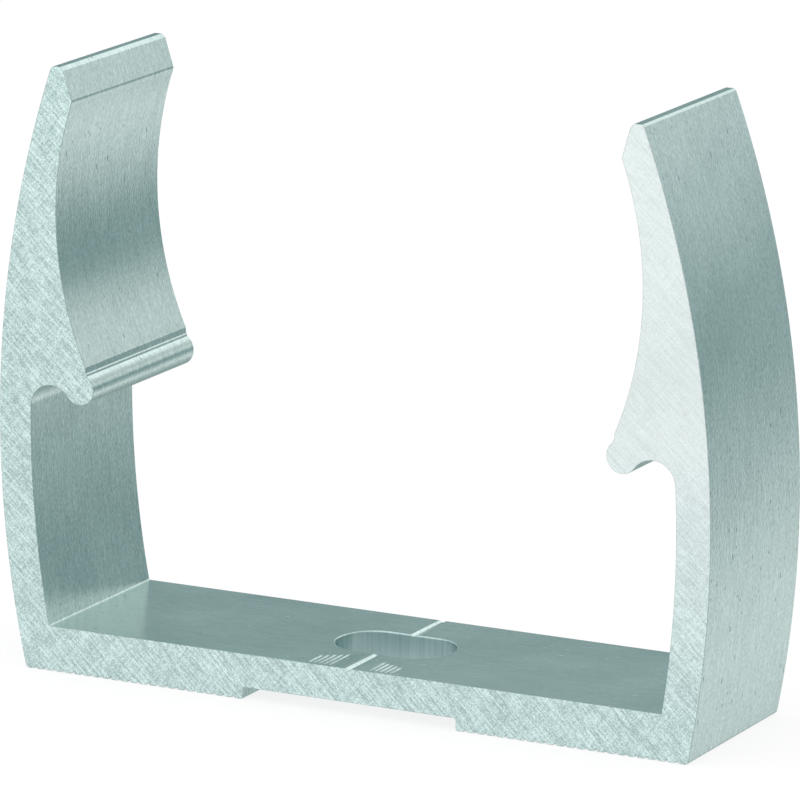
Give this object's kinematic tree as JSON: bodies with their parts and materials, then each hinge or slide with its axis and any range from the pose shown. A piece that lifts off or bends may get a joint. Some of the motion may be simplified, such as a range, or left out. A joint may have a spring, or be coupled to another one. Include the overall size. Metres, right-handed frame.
{
  "type": "conduit clip",
  "caption": "Extruded aluminium clip: a flat base with a screw slot and ribbed feet, and curved spring arms with inner barbs that snap round a conduit.",
  "frame": {"origin": "on the mounting surface that the feet stand on, under the middle of the screw slot", "axes": "+X across the clip from arm to arm, +Y along the conduit and the bar's length, +Z away from the mounting surface"},
  "size_m": [0.0696, 0.0172, 0.0545],
  "materials": {
    "mill_aluminium": "bare extrusion with saw-cut ends"
  },
  "bodies": {
    "root": {"clip_body": "mill_aluminium"}
  },
  "joints": []
}
